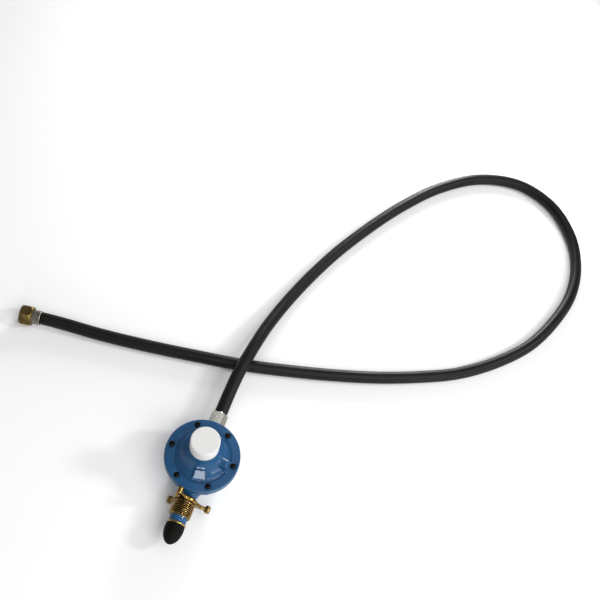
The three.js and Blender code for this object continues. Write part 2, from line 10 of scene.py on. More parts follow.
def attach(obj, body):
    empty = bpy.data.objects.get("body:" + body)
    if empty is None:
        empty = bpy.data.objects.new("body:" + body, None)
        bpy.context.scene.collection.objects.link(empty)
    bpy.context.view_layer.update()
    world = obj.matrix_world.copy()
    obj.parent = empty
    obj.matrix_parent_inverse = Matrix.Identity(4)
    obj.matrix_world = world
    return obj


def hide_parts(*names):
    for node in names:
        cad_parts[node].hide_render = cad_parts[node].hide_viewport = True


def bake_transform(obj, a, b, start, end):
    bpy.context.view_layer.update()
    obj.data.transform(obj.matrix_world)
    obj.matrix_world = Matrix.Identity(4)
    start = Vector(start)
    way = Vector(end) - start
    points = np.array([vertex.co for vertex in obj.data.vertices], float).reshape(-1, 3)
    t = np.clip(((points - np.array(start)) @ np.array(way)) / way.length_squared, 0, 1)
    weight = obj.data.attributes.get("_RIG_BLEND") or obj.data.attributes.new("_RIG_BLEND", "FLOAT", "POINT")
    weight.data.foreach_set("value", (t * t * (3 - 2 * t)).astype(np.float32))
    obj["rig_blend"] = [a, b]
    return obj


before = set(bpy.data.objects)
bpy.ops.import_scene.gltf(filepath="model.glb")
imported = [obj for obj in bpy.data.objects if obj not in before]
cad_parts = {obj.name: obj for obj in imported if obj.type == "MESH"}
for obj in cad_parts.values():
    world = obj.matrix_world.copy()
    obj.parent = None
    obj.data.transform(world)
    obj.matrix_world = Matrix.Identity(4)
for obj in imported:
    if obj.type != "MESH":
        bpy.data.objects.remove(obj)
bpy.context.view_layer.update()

MM = 0.001
TAU = 2 * math.pi

# ---- Sizes in millimetres, turns in radians ----
PORT_Z = 21
FLANGE_R = 38.5
BODY_FLANGE_Z = 31.5
BODY_TOP_Z = 35.9
BONNET_Z = 37.5
FLANGE_TOP_Z = 41
SHOULDER_Z = 63.6
TOWER_BORE_R = 10.2
TOWER_TOP_Z = 78.2

CAP_R = 14.6
CAP_Z = 65
CAP_TOP_Z = 81.2
CAP_PITCH = 2

SCREW_COUNT = 6
SCREW_CIRCLE_R = 33
SCREW_R = 1.9

# The vent hood, and the raised pad on the bell.
VENT_TURN = math.radians(-7)
VENT_Z = 48.2
VENT_END_X = 27.6
HOOD_HALF = 4.8
PAD_TURN = math.radians(13)
PAD_SLOPE = math.radians(47)
PAD_OUT = 21.5
PAD_Z = 45.2

# The hand nut. Its three prongs end in lobes.
NUT_REAR_Y = -41.7
NUT_FRONT_Y = -61.6
NUT_COLLAR_L = 3.6
NUT_LAND_Y = -51
NUT_BORE_R = 6.9
NUT_MOUTH_R = 9.5
NUT_ROOT_R = 9.85
NUT_THREAD_DEPTH = 1.4
NUT_PITCH = 1.814
PRONG_START = math.radians(-12.6)
PRONG_LOBE_R = 2.75
PRONG_LOBE_L = 7.2
PRONG_LOBE_REAR_Y = -39.4
PRONG_TIP_R = 27

# The hose, its two crimped ends and the flare nut.
HOSE_R = 7
HOSE_END_R = 6.6
HOSE_BORE_R = 4.2
HOSE_BORE_L = 16.5
SLEEVE_MOUTH_Y = 55.5
FERRULE_MOUTH = -10.9
FAR_PLACE = (-234.85, 92.39, 10.3)
FAR_TURN = math.radians(98.57)
HEX_HALF = 10.3
FLARE_NUT_REAR = -2.6
FLARE_NUT_FRONT = 11.2
FLARE_PITCH = 1.411
FLARE_BORE_R = 7.3
SLEEVE_HALF = 8.88
HEX_TURN = math.radians(30)

# Inside the castings.
SPRING_FOOT_Z = 38.8
MAIN_SPRING_TOP_Z = 66.5
RELIEF_SPRING_TOP_Z = 48.1
LEVER_Y = -13
LEVER_PIN_Z = 14.5
LEVER_ARM_Z = 27

# The hose's centre line from the regulator to the far fitting, point by point as in the CAD.
HOSE_ROUTE = [
    (0, 40.2, 21), (0, 62, 21.1), (0.3, 82, 21.5), (1.2, 103, 22), (3.2, 124, 22.1),
    (6.6, 149, 20.4), (11.2, 178, 16.2), (21, 219.5, 10.2), (35.7, 265, 7.4),
    (56.5, 315.5, 7), (83.5, 368, 7), (116.5, 422.5, 7), (158, 476, 7), (208, 516, 7),
    (262, 530, 7), (310, 513.5, 7), (343, 474, 7), (356.5, 430, 7), (356.5, 383, 7),
    (343, 337.5, 7), (317.5, 288, 7), (282.5, 248.5, 7), (240.5, 215, 7), (197, 192, 7),
    (152, 172.5, 7), (100, 154.5, 7), (50.5, 140, 7), (1.5, 127.5, 7), (-50, 118, 7),
    (-104, 109, 7), (-156.5, 102, 7.2), (-195.7, 98, 8.9), (-216, 95.3, 10.1),
    (-234.16, 92.5, 10.3),
]


# ---- Camera ----
def add_camera():
    data = bpy.data.cameras.new("camera")
    data.lens = 51
    data.sensor_width = 36
    camera = bpy.data.objects.new("camera", data)
    bpy.context.scene.collection.objects.link(camera)
    camera.location = (0.0525, -0.3015, 0.8635)
    looks_at = Vector((0.0357, 0.2388, 0))
    level = (looks_at - camera.location).to_track_quat("-Z", "Y")
    camera.rotation_mode = "QUATERNION"
    camera.rotation_quaternion = level @ Quaternion((0, 0, 1), math.radians(18.64))
    bpy.context.scene.camera = camera


# ---- Turned shapes: a mesh here is (points in millimetres, faces) ----
def eased(outline, radius=0.35, steps=3):
    """The outline with its corners rounded. A point's third number is its own radius."""
    ring = outline[0][0] > 0
    count = len(outline)
    made = []
    for i, point in enumerate(outline):
        here = np.array(point[:2], float)
        if not ring and i in (0, count - 1):
            made.append(here)
            continue
        before = np.array(outline[i - 1][:2], float) - here
        after = np.array(outline[(i + 1) % count][:2], float) - here
        room = 0.42 * min(np.linalg.norm(before), np.linalg.norm(after))
        before /= np.linalg.norm(before)
        after /= np.linalg.norm(after)
        turn = math.acos(np.clip(-before @ after, -1, 1))
        if turn < 0.12:
            made.append(here)
            continue
        wanted = point[2] if len(point) > 2 else radius
        cut = min(wanted * math.tan(turn / 2), room)
        for t in np.linspace(0, 1, steps + 1):
            made.append(here + before * cut * (1 - t) ** 2 + after * cut * t**2)
    return [tuple(p) for p in made]


def densified(outline, longest):
    """The outline with points added so that none are further apart than longest."""
    ring = outline[0][0] > 0
    ends = outline[1:] + (outline[:1] if ring else [])
    made = []
    for a, b in zip(outline, ends):
        a, b = np.array(a[:2], float), np.array(b[:2], float)
        count = max(1, math.ceil(np.linalg.norm(b - a) / longest))
        made += [tuple(a + (b - a) * k / count) for k in range(count)]
    if not ring:
        made.append(outline[-1][:2])
    return made


def between(start, end, longest):
    """Points on a straight line between two ends, both included."""
    count = math.ceil(math.dist(start, end) / longest) + 1
    return [tuple(p) for p in np.linspace(start, end, count)]


def bend(start, control, end, count):
    """Points on a quadratic curve between two ends, both included."""
    start, control, end = (np.array(p, float) for p in (start, control, end))
    return [
        tuple((1 - t) ** 2 * start + 2 * t * (1 - t) * control + t**2 * end)
        for t in np.linspace(0, 1, count + 1)
    ]


def outward(points, faces):
    """The mesh with its faces turned outward."""
    volume = 0.0
    for face in faces:
        corners = points[np.asarray(face)]
        for k in range(1, len(face) - 1):
            volume += np.dot(corners[0], np.cross(corners[k], corners[k + 1]))
    return points, [f[::-1] for f in faces] if volume < 0 else faces


def turned(outline, segments=64, shape=None):
    """A solid of revolution about +Z from (radius, height) points. shape(r, z, angle) may
    change the radius all round."""
    ring = outline[0][0] > 0
    radius = np.array([p[0] for p in outline], float)
    height = np.array([p[1] for p in outline], float)
    angle = np.arange(segments) * TAU / segments
    rows = slice(None) if ring else slice(1, -1)
    r, z, a = np.broadcast_arrays(radius[rows, None], height[rows, None], angle[None, :])
    if shape:
        r = shape(r, z, a)
    points = np.stack([r * np.cos(a), r * np.sin(a), z], -1).reshape(-1, 3)
    count = len(radius[rows])
    faces = []
    for i in range(count if ring else count - 1):
        low, high = i * segments, (i + 1) % count * segments
        for j in range(segments):
            k = (j + 1) % segments
            faces.append((low + j, low + k, high + k, high + j))
    if not ring:
        poles = np.array([[0, 0, height[0]], [0, 0, height[-1]]])
        first, last = len(points), len(points) + 1
        points = np.vstack([points, poles])
        end = (count - 1) * segments
        for j in range(segments):
            k = (j + 1) % segments
            faces.append((first, k, j))
            faces.append((last, end + j, end + k))
    return outward(points, faces)


def spun(x, y, turn):
    """Two coordinates turned about their origin."""
    c, s = math.cos(turn), math.sin(turn)
    return c * x - s * y, s * x + c * y


def on_port(mesh):
    """A mesh made about +Z, laid along the ports' axis, +Y."""
    points, faces = mesh
    x, y, z = points.T
    return np.stack([x, z, PORT_Z - y], -1), faces


def on_fitting(mesh):
    """A mesh made about +Z, laid along the far fitting from its nut's rear face."""
    points, faces = mesh
    x, y, z = points.T
    across, along = spun(x, z, FAR_TURN)
    return np.stack([across, along, -y], -1) + np.array(FAR_PLACE), faces


def together(*meshes):
    """Several closed shells as one mesh."""
    points, faces, count = [], [], 0
    for p, f in meshes:
        points.append(p)
        faces += [tuple(int(v) + count for v in face) for face in f]
        count += len(p)
    return np.vstack(points), faces


def thread_wave(height, angle, pitch, hand=1):
    """1 on a thread's crest and 0 in its root. hand is 1 for right and -1 for left."""
    t = np.mod(height / pitch - hand * angle / TAU, 1)
    return np.clip((1 - np.abs(2 * t - 1)) * 1.45 - 0.22, 0, 1)


# ---- Blended castings: signed distance fields, in millimetres ----
def smooth_min(a, b, k):
    h = np.clip(0.5 + 0.5 * (b - a) / k, 0, 1)
    return b + (a - b) * h - k * h * (1 - h)


def smooth_max(a, b, k):
    return -smooth_min(-a, -b, k)


def profile(outline, step=0.2, margin=4):
    """A function of (radius, height) that gives the distance to a closed outline."""
    corners = np.array([p[:2] for p in outline], float)
    low = corners.min(0) - margin
    high = corners.max(0) + margin
    low[0] = 0
    r = np.arange(low[0], high[0] + step, step)
    z = np.arange(low[1], high[1] + step, step)
    rr, zz = np.meshgrid(r, z, indexing="ij")
    nearest = np.full(rr.shape, 1e9)
    inside = np.zeros(rr.shape, bool)
    for a, b in zip(corners, np.roll(corners, -1, 0)):
        edge = b - a
        if a[0] > 0 or b[0] > 0:
            along = ((rr - a[0]) * edge[0] + (zz - a[1]) * edge[1]) / max(edge @ edge, 1e-9)
            along = np.clip(along, 0, 1)
            gap = np.hypot(rr - a[0] - along * edge[0], zz - a[1] - along * edge[1])
            nearest = np.minimum(nearest, gap)
        if a[1] != b[1]:
            spans = (zz >= min(a[1], b[1])) & (zz < max(a[1], b[1]))
            cross = a[0] + (zz - a[1]) * edge[0] / edge[1]
            inside ^= spans & (rr < cross)
    table = np.where(inside, -nearest, nearest).astype(np.float32)

    def distance(radius, height):
        u = np.clip((radius - low[0]) / step, 0, len(r) - 1.001)
        v = np.clip((height - low[1]) / step, 0, len(z) - 1.001)
        i, j = u.astype(np.int32), v.astype(np.int32)
        u, v = u - i, v - j
        near = table[i, j] * (1 - v) + table[i, j + 1] * v
        far = table[i + 1, j] * (1 - v) + table[i + 1, j + 1] * v
        return near * (1 - u) + far * u

    return distance


CORNERS = [(i, j, k) for i in (0, 1) for j in (0, 1) for k in (0, 1)]
CELL_EDGES = [
    (a, b)
    for a in range(8)
    for b in range(a + 1, 8)
    if sum(abs(p - q) for p, q in zip(CORNERS[a], CORNERS[b])) == 1
]


def skin(field, low, high, step):
    """The closed surface where field is 0, as one point in each cell that it crosses."""
    axes = [np.arange(a, b + step, step) for a, b in zip(low, high)]
    grid = np.meshgrid(*axes, indexing="ij", sparse=True)
    values = np.ascontiguousarray(np.broadcast_to(field(*grid), [len(a) for a in axes]))
    inside = values < 0
    size = [n - 1 for n in inside.shape]
    count = np.zeros(size, np.int8)
    for i, j, k in CORNERS:
        count += inside[i : i + size[0], j : j + size[1], k : k + size[2]]
    cells = np.argwhere((count > 0) & (count < 8))
    ids = np.full(size, -1, np.int64)
    ids[tuple(cells.T)] = np.arange(len(cells))
    at = np.array(CORNERS)
    corner = [values[tuple((cells + at[n]).T)] for n in range(8)]
    total = np.zeros((len(cells), 3))
    hits = np.zeros(len(cells))
    for a, b in CELL_EDGES:
        cross = (corner[a] < 0) != (corner[b] < 0)
        share = corner[a][cross] / (corner[a][cross] - corner[b][cross])
        total[cross] += at[a] + share[:, None] * (at[b] - at[a])
        hits[cross] += 1
    points = np.array(low) + (cells + total / hits[:, None]) * step
    faces = []
    for axis in range(3):
        other = [(axis + 1) % 3, (axis + 2) % 3]
        one = [slice(None)] * 3
        two = [slice(None)] * 3
        one[axis], two[axis] = slice(None, -1), slice(1, None)
        first = inside[tuple(one)]
        edges = np.argwhere(first != inside[tuple(two)])
        keep = np.all(edges[:, other] > 0, axis=1)
        keep &= np.all(edges[:, other] < np.array(inside.shape)[other] - 1, axis=1)
        edges = edges[keep]
        quads = []
        for shift in ((-1, -1), (0, -1), (0, 0), (-1, 0)):
            cell = edges.copy()
            cell[:, other] += shift
            quads.append(ids[tuple(cell.T)])
        quads = np.stack(quads, 1)
        flip = ~first[tuple(edges.T)]
        quads[flip] = quads[flip][:, ::-1]
        faces.append(quads)
    return settled(field, points, step), [tuple(f) for f in np.vstack(faces).tolist()]


def settled(field, points, step, rounds=3):
    """The points moved onto the surface where field is 0."""
    probe = 0.08 * step
    for _ in range(rounds):
        x, y, z = points.T
        here = field(x, y, z)
        slope = np.stack(
            [
                field(x + probe, y, z) - field(x - probe, y, z),
                field(x, y + probe, z) - field(x, y - probe, z),
                field(x, y, z + probe) - field(x, y, z - probe),
            ],
            -1,
        ) / (2 * probe)
        steep = np.maximum((slope**2).sum(1), 0.25)
        move = -here[:, None] * slope / steep[:, None]
        points = points + np.clip(move, -0.3 * step, 0.3 * step)
    return points


def folded(angle, count, start=0.0):
    """The angle from the nearest of count equal directions."""
    part = TAU / count
    return np.mod(angle - start + part / 2, part) - part / 2


def hexagon(x, y, half):
    """Distance to a hexagon with its flats half away from the middle."""
    return np.hypot(x, y) * np.cos(folded(np.arctan2(y, x), 6, HEX_TURN)) - half


# ---- Swept shapes ----
def smooth_route(route, steps=24):
    """Points on the centripetal Catmull-Rom curve through the route."""
    p = np.array(route, float)
    p = np.vstack([2 * p[0] - p[1], p, 2 * p[-1] - p[-2]])
    made = []
    for a, b, c, d in zip(p, p[1:], p[2:], p[3:]):
        g0, g1, g2 = (math.sqrt(np.linalg.norm(q - o)) for o, q in ((a, b), (b, c), (c, d)))
        m0 = ((b - a) / g0 - (c - a) / (g0 + g1) + (c - b) / g1) * g1
        m1 = ((c - b) / g1 - (d - b) / (g1 + g2) + (d - c) / g2) * g1
        for t in np.arange(steps) / steps:
            cubic = 2 * b - 2 * c + m0 + m1
            square = -3 * b + 3 * c - 2 * m0 - m1
            made.append(b + m0 * t + square * t**2 + cubic * t**3)
    made.append(p[-2])
    return np.array(made)


def lengths_along(path):
    steps = np.linalg.norm(np.diff(path, axis=0), axis=1)
    return np.concatenate([[0], np.cumsum(steps)])


def frames_along(path):
    """A sideways and an upward direction at each point that don't twist along the path."""
    ahead = np.gradient(path, axis=0)
    ahead /= np.linalg.norm(ahead, axis=1)[:, None]
    side = np.cross(ahead[0], (0, 0, 1))
    side /= np.linalg.norm(side)
    sides = [side]
    for direction in ahead[1:]:
        side = sides[-1] - direction * (sides[-1] @ direction)
        sides.append(side / np.linalg.norm(side))
    sides = np.array(sides)
    return sides, np.cross(sides, ahead)


def bent_along(mesh, path):
    """A mesh made about +Z, bent so that its axis follows the path."""
    points, faces = mesh
    at = lengths_along(path)
    sides, ups = frames_along(path)

    def along(values):
        return np.stack([np.interp(points[:, 2], at, values[:, n]) for n in range(3)], -1)

    bent = along(path) + points[:, :1] * along(sides) + points[:, 1:2] * along(ups)
    return bent, [face[::-1] for face in faces]


def coil(radius, wire, low, high, turns, start=0.0, stop=1.0):
    """A part of a compression spring whose end turns lie flat between two heights."""
    low, high = low + wire, high - wire
    t = np.linspace(start, stop, int(turns * 40 * (stop - start)) + 1)
    flat = 0.9 / turns
    ramp = np.clip((t - flat) / (1 - 2 * flat), 0, 1)
    ends = 2.1 * wire
    rise = np.where(t < flat, t / flat, 1) * ends + np.where(
        t > 1 - flat, (t - 1 + flat) / flat, 0
    ) * ends
    height = low + rise + ramp * (high - low - 2 * ends)
    angle = TAU * turns * t
    path = np.stack([radius * np.cos(angle), radius * np.sin(angle), height], -1)
    length = lengths_along(path)[-1]
    rod = densified([(0, 0), (wire, 0), (wire, length), (0, length)], 0.9)
    return bent_along(turned(rod, 12), path)


# ---- Materials ----
class Look:
    """A procedural material, made node by node on one Principled shader."""

    def __init__(self, name, slot, **constants):
        self.slot = slot
        self.material = bpy.data.materials.new(name)
        self.material.use_nodes = True
        self.tree = self.material.node_tree
        self.shader = self.tree.nodes["Principled BSDF"]
        self.place = self.tree.nodes.new("ShaderNodeTexCoord").outputs["Object"]
        for key, value in constants.items():
            self.shader.inputs[key.replace("_", " ")].default_value = value

    def node(self, kind, sockets=None, **settings):
        made = self.tree.nodes.new("ShaderNode" + kind)
        for key, value in settings.items():
            setattr(made, key, value)
        for key, value in (sockets or {}).items():
            if isinstance(value, bpy.types.NodeSocket):
                self.tree.links.new(value, made.inputs[key])
            else:
                made.inputs[key].default_value = value
        return made

    def attribute(self, name, kind="Fac"):
        return self.node("Attribute", attribute_name=name).outputs[kind]

    def noise(self, scale, detail=3.0, roughness=0.55, stretch=(1, 1, 1), place=None):
        place = self.place if place is None else place
        if stretch != (1, 1, 1):
            place = self.node("Mapping", {"Vector": place, "Scale": stretch}).outputs[0]
        sockets = {"Vector": place, "Scale": scale, "Detail": detail, "Roughness": roughness}
        return self.node("TexNoise", sockets).outputs[0]

    def ranged(self, value, low, high, to_low=0.0, to_high=1.0):
        sockets = {0: value, 1: low, 2: high, 3: to_low, 4: to_high}
        return self.node("MapRange", sockets).outputs[0]

    def sums(self, operation, a, b):
        return self.node("Math", {0: a, 1: b}, operation=operation, use_clamp=True).outputs[0]

    def mixed(self, share, a, b):
        def colour(value):
            return value if isinstance(value, bpy.types.NodeSocket) else (*value, 1)

        sockets = {0: share, 6: colour(a), 7: colour(b)}
        return self.node("Mix", sockets, data_type="RGBA").outputs[2]

    def bumped(self, height, distance, strength=1.0, onto=None):
        sockets = {"Height": height, "Distance": distance, "Strength": strength}
        if onto is not None:
            sockets["Normal"] = onto
        return self.node("Bump", sockets).outputs[0]

    def edges(self):
        """Shares for the outer corners, which the looks brighten as wear (on metal also a painted
        highlight), and for the hollows, which they darken as painted shade.
        """
        turn = self.attribute("edge")
        return self.ranged(turn, 0.05, 0.2), self.ranged(turn, -0.03, -0.16)

    def done(self, colour, roughness, normal=None):
        link = self.tree.links.new
        link(colour, self.shader.inputs["Base Color"])
        link(roughness, self.shader.inputs["Roughness"])
        if normal is not None:
            link(normal, self.shader.inputs["Normal"])
        return self


def enamel(name):
    look = Look(name, "blue_enamel", Coat_Weight=0.28, Coat_Roughness=0.05, Specular_IOR_Level=0.18)
    corner, hollow_shade = look.edges()
    cloud = look.ranged(look.noise(38), 0.3, 0.7)
    blue = look.mixed(cloud, (0.0085, 0.058, 0.15), (0.013, 0.08, 0.19))
    blue = look.mixed(look.sums("MULTIPLY", corner, 0.4), blue, (0.035, 0.15, 0.32))
    # Painted shade: a deeper blue in the hollows.
    blue = look.mixed(look.sums("MULTIPLY", hollow_shade, 0.8), blue, (0.004, 0.017, 0.055))
    peel = look.bumped(look.noise(700, 2), 0.00006, 0.25)
    cast = look.bumped(look.noise(110, 2), 0.00035, 0.2, peel)
    return look.done(blue, look.ranged(look.noise(260), 0.25, 0.75, 0.3, 0.44), cast)


def plastic(name):
    look = Look(name, "white_plastic", IOR=1.46)
    hollow_shade = look.edges()[1]
    cloud = look.ranged(look.noise(45), 0.3, 0.7)
    white = look.mixed(cloud, (0.685, 0.683, 0.67), (0.72, 0.718, 0.705))
    # Painted shade: a grey beige in the hollows.
    white = look.mixed(look.sums("MULTIPLY", hollow_shade, 0.5), white, (0.45, 0.42, 0.35))
    grain = look.bumped(look.noise(1500, 2), 0.00003, 0.6)
    sink = look.bumped(look.noise(60, 1), 0.0002, 0.25, grain)
    return look.done(white, look.ranged(look.noise(320), 0.3, 0.7, 0.36, 0.5), sink)


def metal(name, slot, clean, wear_and_highlight, dark, rough, scale=90, grime=0.6, cut=None, speck=0.22):
    """Bare metal with darker stains and painted shade in its hollows, brighter corners (wear and a painted
    highlight) and, with cut, lines along an axis.
    """
    look = Look(name, slot, Metallic=1.0)
    corner, hollow_shade = look.edges()
    stain_and_shade = look.ranged(look.noise(scale, 6, 0.62), 0.42, 0.68)
    fine = look.sums("MULTIPLY", look.ranged(look.noise(scale * 9, 4, 0.6), 0.52, 0.7), speck)
    stain_and_shade = look.sums("ADD", look.sums("MULTIPLY", stain_and_shade, grime), fine)
    # The hollows join the stains: dirt and painted shade.
    stain_and_shade = look.sums("ADD", stain_and_shade, hollow_shade)
    colour = look.mixed(stain_and_shade, clean, dark)
    # Brighter corners and thread crests: wear and a painted highlight.
    colour = look.mixed(look.sums("MULTIPLY", corner, 0.8), colour, wear_and_highlight)
    height = look.noise(1, 3, 0.6, stretch=cut) if cut else look.noise(900, 4)
    normal = look.bumped(height, 0.00004, 0.55)
    normal = look.bumped(look.noise(240, 3), 0.00012, 0.35, normal)
    low, high = rough
    return look.done(colour, look.ranged(stain_and_shade, 0.0, 1.0, low, high), normal)


def rubber(
    name, slot, dark, pale, rough=(0.55, 0.75), scale=900, place=None, stretch=None, gloss=0.2
):
    """Rubber or fibre with a fine grain or, with stretch, streaks along one axis."""
    look = Look(name, slot, Specular_IOR_Level=gloss)
    corner = look.edges()[0]
    where = look.attribute(place, "Vector") if place else None
    if stretch:
        streak = look.noise(1, 4, 0.6, stretch=stretch, place=where)
        cloud = look.noise(22, 3, 0.5, place=where)
    else:
        streak = look.noise(scale, 4, 0.6)
        cloud = look.noise(55, 3, 0.5)
    share = look.sums("MULTIPLY", look.ranged(streak, 0.35, 0.75), look.ranged(cloud, 0.2, 0.8))
    colour = look.mixed(share, dark, pale)
    colour = look.mixed(look.sums("MULTIPLY", corner, 0.3), colour, tuple(2 * v for v in pale))
    normal = look.bumped(streak, 0.00016, 0.6)
    return look.done(colour, look.ranged(streak, 0.3, 0.7, *rough), normal)


def make_looks():
    return {
        "enamel": enamel("blue_enamel"),
        "plastic": plastic("white_plastic"),
        "black": metal(
            "black_oxide", "black_steel", (0.011, 0.0105, 0.01), (0.08, 0.076, 0.07),
            (0.02, 0.016, 0.012), (0.22, 0.45), 400, 0.6,
        ),
        "brass": metal(
            "turned_brass", "brass", (0.25, 0.16, 0.045), (0.74, 0.53, 0.21),
            (0.035, 0.02, 0.006), (0.2, 0.42), 40, 0.4, speck=0.05,
        ),
        "nut_brass": metal(
            "stained_brass", "brass", (0.2, 0.145, 0.05), (0.72, 0.54, 0.24), (0.055, 0.035, 0.012),
            (0.26, 0.5), 110, 0.9,
        ),
        "zinc": metal(
            "dull_zinc", "zinc_steel", (0.27, 0.255, 0.22), (0.48, 0.46, 0.4),
            (0.09, 0.075, 0.055), (0.36, 0.62), 260, 0.85,
        ),
        "silver": metal(
            "bright_sleeve", "silver_sleeve", (0.72, 0.7, 0.63), (0.95, 0.94, 0.9),
            (0.4, 0.37, 0.29), (0.16, 0.34), 70, 0.2, (2600, 160, 2600), 0.05,
        ),
        "spring": metal(
            "spring_wire", "spring_steel", (0.48, 0.49, 0.5), (0.7, 0.7, 0.7),
            (0.2, 0.19, 0.18), (0.25, 0.45), 180, 0.4,
        ),
        "bronze": metal(
            "sintered_bronze", "bronze_mesh", (0.34, 0.21, 0.1), (0.5, 0.33, 0.17),
            (0.08, 0.045, 0.02), (0.5, 0.75), 1500, 1.0,
        ),
        "hose": rubber(
            "hose_rubber", "hose_rubber", (0.0025, 0.0027, 0.002), (0.0085, 0.0087, 0.0068),
            (0.36, 0.52), place="along", stretch=(1500, 1500, 14),
        ),
        "nose": rubber(
            "nose_rubber", "nose_rubber", (0.002, 0.002, 0.0016), (0.01, 0.01, 0.0075), gloss=0.1
        ),
        "sheet": rubber("sheet_rubber", "inner_rubber", (0.022, 0.02, 0.018), (0.05, 0.045, 0.04)),
        "fibre": rubber(
            "red_fibre", "fibre", (0.2, 0.045, 0.025), (0.36, 0.1, 0.06), (0.6, 0.85), 1600
        ),
    }


def mark_edges(mesh):
    """Stores how sharply the surface turns at each point: over 0 outward, under 0 inward."""
    count = len(mesh.vertices)
    place = np.empty(count * 3)
    facing = np.empty(count * 3)
    mesh.vertices.foreach_get("co", place)
    mesh.vertices.foreach_get("normal", facing)
    place, facing = place.reshape(-1, 3), facing.reshape(-1, 3)
    ends = np.empty(len(mesh.edges) * 2, np.int32)
    mesh.edges.foreach_get("vertices", ends)
    i, j = ends.reshape(-1, 2).T
    gap = place[i] - place[j]
    gap /= np.maximum(np.linalg.norm(gap, axis=1), 1e-12)[:, None]
    near = np.maximum(np.bincount(i, minlength=count) + np.bincount(j, minlength=count), 1)
    turn = np.bincount(i, (gap * facing[i]).sum(1), count)
    turn -= np.bincount(j, (gap * facing[j]).sum(1), count)
    turn /= near
    spread = (np.bincount(i, turn[j], count) + np.bincount(j, turn[i], count)) / near
    store = mesh.attributes.new("edge", "FLOAT", "POINT")
    store.data.foreach_set("value", ((turn + spread) / 2).astype(np.float32))


def piece(node, mesh, body, look):
    """A finished piece that stands for the CAD node and rides on its body."""
    points, faces = mesh
    data = bpy.data.meshes.new("fine_" + node)
    data.from_pydata((np.asarray(points) * MM).tolist(), [], faces)
    data.shade_smooth()
    data.set_sharp_from_angle(angle=math.radians(40))
    mark_edges(data)
    data.materials.append(look.material)
    obj = bpy.data.objects.new("fine_" + node, data)
    bpy.context.scene.collection.objects.link(obj)
    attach(obj, body)
    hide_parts(node)
    return obj


# ---- Castings ----
def around_y(x, z):
    """Distance from the ports' axis."""
    return np.hypot(x, z - PORT_Z)


def screw_offset(x, y):
    """Distance from the nearest screw's axis."""
    r = np.hypot(x, y)
    a = folded(np.arctan2(y, x), SCREW_COUNT)
    return np.hypot(r * np.cos(a) - SCREW_CIRCLE_R, r * np.sin(a))


def lever_pin(y, z, radius):
    """Distance to a rod on the lever's axis."""
    return np.hypot(y - LEVER_Y, z - LEVER_PIN_Z) - radius


def bonnet_mesh():
    outside = profile(
        eased(
            [
                (0, BONNET_Z), (FLANGE_R, BONNET_Z, 0.5), (FLANGE_R, FLANGE_TOP_Z, 0.9),
                (29.4, FLANGE_TOP_Z, 0.4), (28.9, FLANGE_TOP_Z - 0.4), (27.8, FLANGE_TOP_Z - 0.4),
                *bend((27.2, FLANGE_TOP_Z + 0.4), (19, 46), (15.3, 60.5), 12),
                (14.9, SHOULDER_Z, 0.9), (11.4, SHOULDER_Z), (11.4, SHOULDER_Z + 1),
                (0, SHOULDER_Z + 1),
            ]
        )
    )
    inside = profile(
        [
            (0, BONNET_Z - 6), (29, BONNET_Z - 6), (29, BONNET_Z + 0.6),
            *bend((25.2, 39.6), (16.8, 44.5), (12.6, 60.5), 8),
            (TOWER_BORE_R, 63.4), (TOWER_BORE_R, TOWER_TOP_Z), (0, TOWER_TOP_Z),
        ]
    )

    def field(x, y, z):
        r = np.hypot(x, y)
        u, v = spun(x, y, -VENT_TURN)
        hood = np.hypot(v, np.maximum(z - VENT_Z, 0)) - HOOD_HALF
        hood = smooth_max(hood, u - VENT_END_X, 0.9)
        hood = np.maximum(np.maximum(hood, 12 - u), 39.5 - z)
        a, b = spun(x, y, -PAD_TURN)
        along, up = spun(b + PAD_OUT, z - PAD_Z, -PAD_SLOPE)
        pad = smooth_max(np.abs(a) - 6.5 + 0.16 * along, np.abs(along) - 5.6, 0.9)
        window = np.maximum(pad + 0.9, 2.25 - up)
        pad = smooth_max(pad, np.abs(up - 1.3) - 1.3, 0.4)
        pad = smooth_max(pad, -window, 0.25)
        ledge = smooth_max(np.abs(a) - 4.7, np.abs(along - 8.1) - 1.5, 0.6)
        ledge = smooth_max(ledge, np.abs(up - 1.6) - 1.6, 0.6)
        solid = smooth_min(outside(r, z), hood, 3)
        solid = smooth_min(solid, smooth_min(pad, ledge, 0.2), 0.6)
        solid = np.maximum(solid, -inside(r, z))
        screw = screw_offset(x, y)
        holes = np.minimum(screw - 2.2, smooth_max(screw - 3.75, FLANGE_TOP_Z - 0.3 - z, 0.2))
        across = np.hypot(v, z - VENT_Z)
        vent = np.minimum(np.maximum(across - 2, 10 - u), np.maximum(across - 3.3, 25.4 - u))
        return smooth_max(solid, -np.minimum(holes, vent), 0.3)

    shell = skin(field, (-40, -40, 36.5), (40, 40, 66), 0.42)
    rings = between((12, SHOULDER_Z - 0.6), (12, TOWER_TOP_Z - 0.8), 0.2)
    wall = [
        (TOWER_BORE_R, SHOULDER_Z - 0.6), *rings, (11.4, TOWER_TOP_Z), (TOWER_BORE_R, TOWER_TOP_Z),
    ]

    def threaded(r, z, a):
        fade = np.clip((TOWER_TOP_Z - 1 - z) / 1.2, 0, 1) * np.clip((z - 65) / 1.2, 0, 1)
        return np.where(r > 11.8, r + 0.55 * fade * thread_wave(z, a, CAP_PITCH), r)

    return together(shell, turned(wall, 96, threaded))


